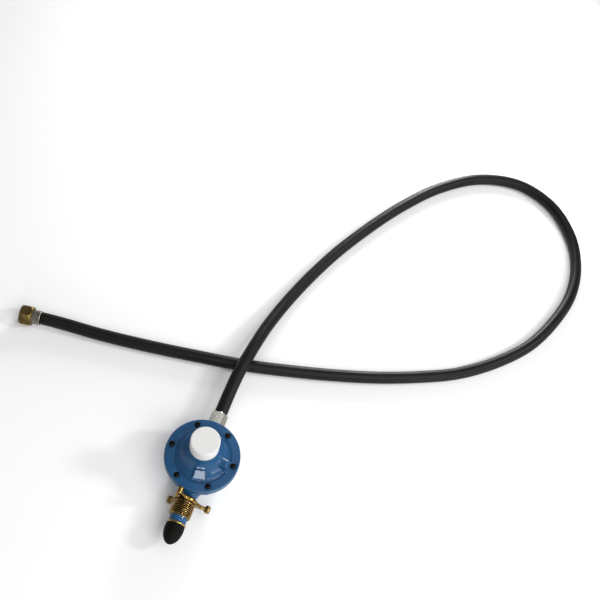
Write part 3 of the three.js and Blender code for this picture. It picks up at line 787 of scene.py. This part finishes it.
def lower_mesh():
    bowl = profile(
        eased(
            [
                (0, 0), (22.5, 0, 1.2), (29.2, 25, 5), (31, BODY_FLANGE_Z, 0.8),
                (FLANGE_R, BODY_FLANGE_Z, 0.8), (FLANGE_R, BODY_TOP_Z, 0.5), (0, BODY_TOP_Z),
            ]
        )
    )
    chamber = profile(
        [(0, 9), (20, 9), (23.5, 12), (27.5, 28), (28.3, BODY_TOP_Z + 6), (0, BODY_TOP_Z + 6)]
    )
    inlet = profile(
        eased([(0, -25), (11.6, -25), (11.5, -33), (9.9, -37.3, 2), (9.5, -40, 0.5), (0, -40)])
    )
    outlet = profile(eased([(0, 25), (9.6, 25), (9.6, 38, 0.6), (0, 38)]))
    bores = profile(
        [
            (0, -46), (7, -46), (7, -28.5), (4, -28.5), (4, -22.9), (4.4, -22.9), (4.4, -16),
            (0, -16),
        ]
    )
    outlet_bore = profile([(0, 24), (5.5, 24), (5.5, 28.3), (7, 28.3), (7, 44), (0, 44)])

    def field(x, y, z):
        r = np.hypot(x, y)
        port = around_y(x, z)
        screw = screw_offset(x, y)
        bosses = smooth_max(screw - 4.2, np.maximum(26 - z, z - 33), 0.8)
        solid = smooth_min(bowl(r, z), bosses, 1.2)
        solid = smooth_min(solid, inlet(port, y), 3.2)
        solid = smooth_min(solid, outlet(port, y), 2.4)
        rib = np.maximum(np.abs(r - 12.5) - 3, z - 0.45)
        solid = smooth_max(solid, -rib, 0.3)
        solid = np.maximum(solid, -chamber(r, z))
        guide = np.maximum(port - 7.5, np.abs(y + 22.25) - 5.25)
        lug_side = np.abs(np.abs(x) - 5.9) - 1.5
        lugs = np.maximum(np.abs(y - LEVER_Y) - 3, np.abs(z - 12.65) - 4.65)
        lugs = np.maximum(lug_side, lugs)
        solid = smooth_min(solid, np.minimum(guide, lugs), 0.6)
        pin = np.maximum(lever_pin(y, z, 1.5), np.abs(x) - 9)
        screw_hole = np.maximum(screw - 2.2, 26.5 - z)
        cut = np.minimum(bores(port, y), outlet_bore(port, y))
        cut = np.minimum(cut, np.minimum(pin, screw_hole))
        solid = smooth_max(solid, -cut, 0.25)
        return np.maximum(solid, z - BODY_TOP_Z)

    return skin(field, (-40, -41.5, -1), (40, 40, 37), 0.5)


def screw_mesh():
    head = FLANGE_TOP_Z - 0.2
    shank = profile(
        eased(
            [
                (0, 28.3), (1.3, 28.3), (SCREW_R, 29.1), (SCREW_R, head), (2.9, head, 0.15),
                (2.9, head + 1.1, 0.5),
                *bend((2.55, head + 1.75), (1.6, head + 2.25), (0, head + 2.3), 6),
            ],
            0.2,
        ),
        0.1,
        2,
    )

    def field(x, y, z):
        r = np.hypot(x, y)
        depth = np.clip((z - head) / 2.3, 0, 1)
        arm = np.maximum(np.abs(x) - 1.7 * depth, np.abs(y) - 0.42)
        other = np.maximum(np.abs(y) - 1.7 * depth, np.abs(x) - 0.42)
        cross = np.maximum(np.minimum(arm, other), head + 0.5 - z)
        thread = 0.22 * (1 - thread_wave(z, np.arctan2(y, x), 0.9))
        solid = shank(r, z) + np.where(z < head - 1, thread, 0)
        return smooth_max(solid, -cross, 0.12)

    return skin(field, (-3.3, -3.3, 27.8), (3.3, 3.3, 43.8), 0.17)


def hand_nut_mesh():
    collar_front = NUT_REAR_Y - NUT_COLLAR_L
    blank = profile(
        eased(
            [
                (NUT_BORE_R, NUT_REAR_Y, 0.5), (12.8, NUT_REAR_Y, 0.9),
                (12.8, collar_front, 0.7), (9.7, collar_front - 0.5), (9.7, NUT_LAND_Y),
                (NUT_BORE_R, NUT_LAND_Y, 0.3),
            ]
        ),
        0.12,
    )
    widths = ((6, 13, 17.5, 24), (5.2, 3.8, 1.95, 1.8))
    lobe_at = PRONG_TIP_R - PRONG_LOBE_R
    lobe_y = PRONG_LOBE_REAR_Y - PRONG_LOBE_L / 2

    def field(x, y, z):
        z = z - PORT_Z
        r = np.hypot(x, z)
        solid = blank(r, y)
        for k in range(3):
            a = PRONG_START + k * TAU / 3
            u, v = spun(x, z, -a)
            middle = NUT_REAR_Y - NUT_COLLAR_L / 2
            arm = smooth_max(np.abs(v) - np.interp(u, *widths), np.abs(y - middle) - 1.75, 1.3)
            arm = np.maximum(np.maximum(arm, u - lobe_at), 8 - u)
            lobe = np.hypot(u - lobe_at, v) - PRONG_LOBE_R
            lobe = smooth_max(lobe, np.abs(y - lobe_y) - PRONG_LOBE_L / 2, 1.0)
            solid = smooth_min(solid, smooth_min(arm, lobe, 1.6), 1.5)
        return smooth_max(solid, NUT_BORE_R - r, 0.25)

    low = (-21, NUT_LAND_Y - 1, PORT_Z - 22)
    casting = skin(field, low, (28, PRONG_LOBE_REAR_Y + 1, PORT_Z + 28), 0.26)
    rear, front = collar_front - 0.4, NUT_FRONT_Y
    wall = between((NUT_ROOT_R, front), (NUT_ROOT_R, rear), 0.12)

    def threaded(r, z, a):
        run = np.clip((z - front) / 1.3, 0, 1) * np.clip((rear - 0.3 - z) / 0.8, 0, 1)
        crest = NUT_THREAD_DEPTH * run * thread_wave(z, a, NUT_PITCH, -1)
        return np.where(r > NUT_MOUTH_R, r + crest, r)

    barrel = turned([(NUT_MOUTH_R, front), *wall, (NUT_MOUTH_R, rear)], 180, threaded)
    return together(casting, on_port(barrel))


# ---- Tower and screws ----
def cap_mesh():
    inner = CAP_R - 1.7
    bore = between((inner, CAP_TOP_Z - 3.4), (inner, CAP_Z + 1), 0.25)
    lip = eased(
        [(inner, CAP_Z + 0.6), (inner + 0.3, CAP_Z), (CAP_R, CAP_Z, 0.4), (CAP_R, CAP_Z + 3)]
    )
    outline = [
        (0, CAP_TOP_Z - 2.2), (inner - 0.8, CAP_TOP_Z - 2.2), *bore, *lip[1:-1],
        (CAP_R, CAP_Z + 5), (CAP_R, CAP_TOP_Z - 3),
        *bend((CAP_R, CAP_TOP_Z - 1.1), (CAP_R, CAP_TOP_Z), (CAP_R - 1.1, CAP_TOP_Z), 6),
        (CAP_R - 2, CAP_TOP_Z), (CAP_R - 5, CAP_TOP_Z), (4, CAP_TOP_Z), (0, CAP_TOP_Z),
    ]

    def threaded(r, z, a):
        fade = np.clip((CAP_TOP_Z - 4 - z) / 1.5, 0, 1) * np.clip((z - CAP_Z - 1) / 1.5, 0, 1)
        ridge = 0.32 * fade * thread_wave(z - CAP_PITCH / 2, a, CAP_PITCH)
        return np.where(np.abs(r - inner) < 0.01, r - ridge, r)

    return turned(outline, 128, threaded)


def adjuster_mesh():
    disc = profile(eased([(0, 68.9), (9.9, 68.9, 0.6), (9.9, 75.9, 0.6), (0, 75.9)]), 0.15)

    def field(x, y, z):
        r = np.hypot(x, y)
        thread = 0.3 * (1 - thread_wave(z, np.arctan2(y, x), 1.5)) * np.clip(r - 8.5, 0, 1)
        socket = np.maximum(hexagon(x, y, 4.5), 71.9 - z)
        return smooth_max(disc(r, z) + thread, -socket, 0.3)

    return skin(field, (-10.6, -10.6, 68.2), (10.6, 10.6, 76.6), 0.3)


# ---- Valve linkage ----
def stem_mesh():
    rod = profile(
        eased(
            [
                (0, 23.4), (3.6, 23.4), (3.6, 33.4), (7, 34.4), (7, BODY_TOP_Z), (2.5, BODY_TOP_Z),
                (2.5, 52.4), (0, 52.4),
            ],
            0.3,
        ),
        0.12,
    )

    def field(x, y, z):
        r = np.hypot(x, y)
        body = rod(r, z) + np.where(z > 44, 0.2 * (1 - thread_wave(z, np.arctan2(y, x), 0.8)), 0)
        window = np.maximum(np.abs(x) - 1.9, np.abs(z - LEVER_ARM_Z) - 1.9)
        return smooth_max(body, -np.maximum(window, np.abs(y) - 5), 0.2)

    return skin(field, (-7.5, -7.5, 22.8), (7.5, 7.5, 53), 0.25)


def lever_mesh():
    def field(x, y, z):
        hub = lever_pin(y, z, 2.6)
        cam = np.hypot(y - LEVER_Y, z - PORT_Z) - 1.3
        tip = np.hypot(y - 1.3, z - LEVER_ARM_Z) - 1.4
        upright = np.maximum(np.abs(y - LEVER_Y) - 0.8, np.abs(z - 21.15) - 6.65)
        across = np.maximum(np.abs(y + 6.25) - 7.55, np.abs(z - LEVER_ARM_Z) - 0.8)
        ends = np.minimum(np.minimum(hub, cam), tip)
        plate = smooth_min(np.minimum(upright, across), ends, 0.5)
        plate = smooth_max(plate, np.abs(x) - 1.5, 0.25)
        return smooth_max(plate, -lever_pin(y, z, 1.5), 0.2)

    return skin(field, (-2, -16.2, 11.4), (2, 3.2, 28.9), 0.2)


def holder_mesh():
    body = profile(
        eased(
            [
                (0, -18.3), (3.5, -18.3), (3.5, -20.1), (4, -20.1), (4, -9.3), (3.5, -8.8),
                (0, -8.8),
            ],
            0.15,
        ),
        0.1,
    )

    def field(x, y, z):
        window = np.maximum(np.abs(x) - 1.9, np.abs(y - LEVER_Y) - 2.15)
        return smooth_max(body(around_y(x, z), y), -window, 0.15)

    return skin(field, (-4.4, -20.6, PORT_Z - 4.4), (4.4, -8.3, PORT_Z + 4.4), 0.2)


def relief_nut_mesh():
    def field(x, y, z):
        r = np.hypot(x, y)
        body = smooth_max(hexagon(x, y, 4.15), np.abs(z - 49.9) - 1.5, 0.2)
        body = smooth_max(body, r - 4.7, 0.2)
        return smooth_max(body, 2.8 - r, 0.2)

    return skin(field, (-5.2, -5.2, 48), (5.2, 5.2, 51.8), 0.2)


# ---- Outlet, hose and far fitting ----
def faceted(half, count, start, k=0.35):
    """A shape function that trims a turned blank to count flats."""

    def shape(r, z, a):
        flats = half / np.cos(folded(a, count, start))
        return np.where(r > 0.86 * half, smooth_min(r, flats, k), r)

    return shape


def sleeve_mesh():
    blank = eased(
        [
            (4.2, 38.3), (8.6, 38.3, 0.3), (9.75, 39.6, 0.5), (9.75, SLEEVE_MOUTH_Y - 1.4, 0.8),
            (8.9, SLEEVE_MOUTH_Y, 0.6), (7.4, SLEEVE_MOUTH_Y, 0.3),
            (6.9, SLEEVE_MOUTH_Y - 0.8, 0.3), (6.9, 39.9), (4.2, 39.9),
        ]
    )
    return turned(densified(blank, 0.5), 160, faceted(SLEEVE_HALF, 8, 0, 0.25))


def hose_mesh(path):
    length = lengths_along(path)[-1]
    near, far = 17.6, 12.4
    blank = eased(
        [
            (0, HOSE_BORE_L), (HOSE_BORE_R, HOSE_BORE_L), (HOSE_BORE_R, 0), (HOSE_END_R, 0),
            (HOSE_END_R, near - 2.2, 2), (HOSE_R + 0.05, near, 3), (HOSE_R, near + 6, 4),
            (HOSE_R, length - far - 6, 4), (HOSE_R + 0.05, length - far, 3),
            (HOSE_END_R, length - far + 2.2, 2), (HOSE_END_R, length), (HOSE_BORE_R, length),
            (HOSE_BORE_R, length - HOSE_BORE_L), (0, length - HOSE_BORE_L),
        ]
    )
    return turned(densified(blank, 2.4), 40)


def ferrule_mesh():
    blank = eased(
        [
            (5.3, 0.1), (6.9, 0.1), (6.9, FERRULE_MOUTH, 0.3), (7.75, FERRULE_MOUTH - 0.05, 0.4),
            (8.05, FERRULE_MOUTH + 0.8, 0.5), (7.75, FERRULE_MOUTH + 2.2, 0.8), (7.75, -3, 0.8),
            (7.95, -1, 0.8), (7.9, 0.9, 0.4), (7.5, 1.3, 0.3), (5.3, 1.3),
        ]
    )

    def crimped(r, z, a):
        band = np.clip((z - FERRULE_MOUTH - 1.4) / 1.2, 0, 1) * np.clip((-1.2 - z) / 1.2, 0, 1)
        flat = np.abs(np.sin(4 * a))
        return np.where(r > 7.2, r - 0.45 * band * (1 - flat) ** 1.5, r)

    return turned(densified(blank, 0.45), 128, crimped)


def flare_nut_mesh():
    corner = HEX_HALF * 2 / math.sqrt(3) + 0.3
    rear, front = FLARE_NUT_REAR, FLARE_NUT_FRONT
    blank = eased(
        [
            (8.3, rear), (8.9, rear, 0.5), (10.25, rear + 0.85, 1.2), (11.15, rear + 2.2, 1.2),
            (corner, rear + 4.2, 1), (corner, front - 2.8, 0.8), (10, front, 0.5),
            (8.4, front, 0.3), (FLARE_BORE_R, front - 0.9, 0.1), (FLARE_BORE_R, 3.8, 0.1),
            (5.4, 3.8, 0.1), (5.4, 1.7, 0.1), (8.3, 1.7, 0.1),
        ]
    )
    trim = faceted(HEX_HALF, 6, HEX_TURN)

    def shape(r, z, a):
        fade = np.clip((front - 1 - z) / 0.8, 0, 1) * np.clip((z - 4.4) / 0.6, 0, 1)
        cut = r + 0.6 * fade * thread_wave(z, a, FLARE_PITCH)
        return np.where(np.abs(r - FLARE_BORE_R) < 0.01, cut, trim(r, z, a))

    return turned(densified(blank, 0.2), 180, shape)


# ---- Assembly ----
def build_regulator(looks):
    piece("bonnet", bonnet_mesh(), "housing", looks["enamel"])
    piece("lower_body", lower_mesh(), "housing", looks["enamel"])
    points, faces = screw_mesh()
    for k in range(SCREW_COUNT):
        angle = k * TAU / SCREW_COUNT
        x, y, z = points.T
        x, y = spun(x, y, 0.35 + 1.9 * k)
        x = x + SCREW_CIRCLE_R * math.cos(angle)
        y = y + SCREW_CIRCLE_R * math.sin(angle)
        screw = (np.stack([x, y, z], -1), faces)
        piece(f"bonnet_screw_{k + 1}", screw, "housing", looks["black"])
    piece("cap", cap_mesh(), "tower_cap", looks["plastic"])
    piece("adjusting_screw", adjuster_mesh(), "adjuster", looks["zinc"])
    piece("hand_nut", hand_nut_mesh(), "inlet_nut", looks["brass"])
    piece("diaphragm_stem", stem_mesh(), "diaphragm_centre", looks["brass"])
    piece("relief_nut", relief_nut_mesh(), "diaphragm_centre", looks["brass"])
    piece("lever", lever_mesh(), "valve_lever", looks["zinc"])
    piece("valve_holder", holder_mesh(), "valve", looks["brass"])
    relief = coil(4.1, 0.45, SPRING_FOOT_Z, RELIEF_SPRING_TOP_Z, 5)
    piece("relief_spring", relief, "diaphragm_centre", looks["spring"])

    upright = {
        "cap_seal": ("seal", "sheet", [(12.7, 63.9), (14.4, 63.9), (14.4, 64.7), (12.7, 64.7)]),
        "upper_spring_seat": (
            "spring_seat", "spring",
            [(3, 64.8), (6.8, 64.8), (6.8, 66.8), (9.6, 66.8), (9.6, 68.6), (3, 68.6)],
        ),
        "diaphragm_plate": (
            "diaphragm_centre", "zinc",
            [(2.8, 37.5), (19, 37.5), (20.3, 39.7), (19.4, 39.7), (18.4, 38.5), (2.8, 38.5)],
        ),
    }
    for node, (body, look, outline) in upright.items():
        piece(node, turned(eased(outline, 0.25)), body, looks[look])

    ogive = [
        (9.8 * math.cos(t) ** 1.06, -74.1 - 15.1 * math.sin(t) / math.sin(1.344))
        for t in np.linspace(0.08, 1.344, 22)
    ]
    lengthwise = {
        "orifice": (
            "housing", "brass",
            [(1.25, -28), (3.7, -28), (3.7, -23.1), (2.6, -22.8), (1.9, -21.9), (1.25, -21.9)],
        ),
        "seat_disc": ("valve", "nose", [(0, -20.6), (3.2, -20.6), (3.2, -18.6), (0, -18.6)]),
        "inlet_filter": (
            "housing", "bronze",
            [(0, -30.5), (2.4, -30.5), (2.4, -29.1), (4, -29.1), (4, -33.1), (0, -33.1)],
        ),
        "inlet_stem": (
            "housing", "enamel",
            [
                (4.3, -28.8), (6.7, -28.8), (6.7, -40.2), (6, -40.9), (6, -56.5, 0.8),
                (9, -56.5, 0.5), (9, -67.5, 0.5), (5, -67.5), (5, -78), (5.7, -79), (5.7, -80),
                (4.2, -84), (3, -84), (3, -33.4), (4.3, -33.4),
            ],
        ),
        "thrust_washer": (
            "washer", "fibre", [(6.3, -52.5), (9.1, -52.5), (9.1, -51.3), (6.3, -51.3)],
        ),
        "nose_ring": (
            "housing", "brass",
            [(5.3, -67.8), (9.9, -67.8, 0.6), (9.9, -69.8, 0.6), (5.3, -69.8)],
        ),
        "rubber_nose": (
            "housing", "nose",
            [
                (6, -70.1), (9.5, -70.1, 0.7), (9.75, -72), (9.8, -73.4), *ogive,
                (1.9, -88.8), (1.9, -84.4), (6, -84.4),
            ],
        ),
        "outlet_insert": (
            "housing", "brass",
            [
                (2.9, 28.8), (6.7, 28.8), (6.7, 37.7), (3.9, 37.7), (3.9, 43), (3.5, 43.6),
                (3.9, 48), (3.5, 48.6), (3.9, 53.3), (3.2, 54.3), (2.9, 54.3),
            ],
        ),
    }
    for node, (body, look, outline) in lengthwise.items():
        piece(node, on_port(turned(eased(outline, 0.3), 72)), body, looks[look])

    rear, front, edge = 25.7, 26.5, 3.0
    disc = eased([(0, rear), (edge, rear), (edge, front), (0, front)], 0.2)
    points, faces = turned(densified(disc, 0.3), 48)
    across, up, out = points.T
    x, y = spun(out, -across, VENT_TURN)
    points = np.stack([x, y, up + VENT_Z], -1)
    piece("vent_screen", outward(points, faces), "housing", looks["bronze"])

    pin = eased([(0, -7.2), (1.2, -7.2, 0.3), (1.2, 7.2, 0.3), (0, 7.2)], 0.3)
    points, faces = turned(pin, 32)
    y, z, x = points.T
    points = np.stack([x, y + LEVER_Y, z + LEVER_PIN_Z], -1)
    piece("lever_pin", (points, faces), "housing", looks["spring"])
    build_soft_inside(looks)


def build_soft_inside(looks):
    """The parts that give: the main spring in two halves, and the diaphragm."""
    spring = dict(radius=8.4, wire=0.8, low=SPRING_FOOT_Z, high=MAIN_SPRING_TOP_Z, turns=6)
    lower = piece("main_spring", coil(**spring, stop=0.5), "housing", looks["spring"])
    upper = piece("main_spring", coil(**spring, start=0.5), "housing", looks["spring"])
    for half, name in ((lower, "spring_lower_half"), (upper, "spring_upper_half")):
        half.name = name
        half.parent = None
    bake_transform(lower, "diaphragm_centre", "housing", (0, 0, SPRING_FOOT_Z * MM), (0, 0, 52 * MM))
    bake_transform(upper, "housing", "spring_seat", (0, 0, 53.5 * MM), (0, 0, 66 * MM))

    low, high, edge = 36.2, 37.2, FLANGE_R - 0.3
    sheet = eased(
        [
            (2.8, low), (21.4, low, 1), (22.6, low - 1.3, 1), (25, low - 1.3, 1), (26.2, low, 1),
            (edge, low), (edge, high), (26.7, high, 1), (25.5, high - 1.3, 1),
            (22.1, high - 1.3, 1), (20.9, high, 1), (2.8, high),
        ],
        0.2,
    )
    diaphragm = piece("diaphragm", turned(densified(sheet, 1.6), 96), "housing", looks["sheet"])
    diaphragm.parent = None
    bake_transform(diaphragm, "housing", "diaphragm_centre", (0, 0, 0), (0, 0, MM))
    radius = np.array([math.hypot(v.co.x, v.co.y) for v in diaphragm.data.vertices]) / MM
    share = np.clip((27 - radius) / 6, 0, 1)
    store = diaphragm.data.attributes["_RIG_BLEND"]
    store.data.foreach_set("value", (share * share * (3 - 2 * share)).astype(np.float32))


def build_hose(looks):
    path = smooth_route(HOSE_ROUTE)
    straight = hose_mesh(path)
    hose = piece("hose", bent_along(straight, path), "housing", looks["hose"])
    store = hose.data.attributes.new("along", "FLOAT_VECTOR", "POINT")
    store.data.foreach_set("vector", (straight[0] * MM).astype(np.float32).ravel())
    piece("outlet_sleeve", on_port(sleeve_mesh()), "housing", looks["silver"])

    ferrule = piece("far_ferrule", on_fitting(ferrule_mesh()), "housing", looks["zinc"])
    head = eased(
        [
            (2.9, -13), (3.2, -13), (3.9, -12), (3.9, -0.2), (5, -0.2), (5, 4.1), (7, 4.1),
            (7, 5.6, 0.3), (4, 8.6, 0.3), (2.9, 8.6, 0.3),
        ],
        0.25,
    )
    insert = piece("far_insert", on_fitting(turned(head, 72)), "housing", looks["brass"])
    nut = piece("flare_nut", on_fitting(flare_nut_mesh()), "outlet_nut", looks["nut_brass"])


# ---- Studio ----
def add_light(name, place, aim, size, power):
    data = bpy.data.lights.new(name, "AREA")
    data.shape = "RECTANGLE"
    data.size, data.size_y = size
    data.energy = power
    light = bpy.data.objects.new(name, data)
    bpy.context.scene.collection.objects.link(light)
    light.location = place
    light.rotation_mode = "QUATERNION"
    light.rotation_quaternion = (aim - place).to_track_quat("-Z", "Y")
    light.visible_camera = False


def build_studio():
    scene = bpy.context.scene
    data = bpy.data.meshes.new("floor")
    half = 6
    corners = [(-half, -half, 0), (half, -half, 0), (half, half, 0), (-half, half, 0)]
    data.from_pydata(corners, [], [(0, 1, 2, 3)])
    floor = bpy.data.objects.new("floor", data)
    scene.collection.objects.link(floor)
    paper = bpy.data.materials.new("paper")
    paper.use_nodes = True
    shader = paper.node_tree.nodes["Principled BSDF"]
    shader.inputs["Base Color"].default_value = (0.93, 0.93, 0.93, 1)
    shader.inputs["Roughness"].default_value = 0.9
    data.materials.append(paper)

    world = bpy.data.worlds.new("studio")
    scene.world = world
    world.use_nodes = True
    sky = world.node_tree.nodes["Background"]
    sky.inputs["Color"].default_value = (1, 1, 1, 1)
    sky.inputs["Strength"].default_value = 0.3
    scene.view_settings.view_transform = "Standard"

    middle = Vector((0.02, 0.1, 0.03))
    regulator = Vector((0, 0, 0.05))
    hose = Vector((0.4, 0.55, 0))
    for name, aim, direction, distance, size, power in (
        ("key", middle, (0.77, 0.21, 0.6), 2.4, (0.26, 0.36), 16),
        ("soft", middle, (0.45, -0.38, 0.8), 2, (1.6, 1.6), 25),
        ("side", regulator, (1.15, -0.42, 0.13), 1, (0.75, 0.25), 4),
        ("front", regulator, (0.233, -0.936, 0.261), 1.1, (0.16, 0.11), 1.5),
        ("back", regulator, (0.04, 0.97, 0.2), 1, (0.2, 0.4), 6),
        ("top", hose, (0, 0, 1), 1.5, (0.96, 0.5), 1.4),
    ):
        add_light(name, aim + Vector(direction) * distance, aim, size, power)


add_camera()
looks = make_looks()
build_hose(looks)
build_regulator(looks)
build_studio()
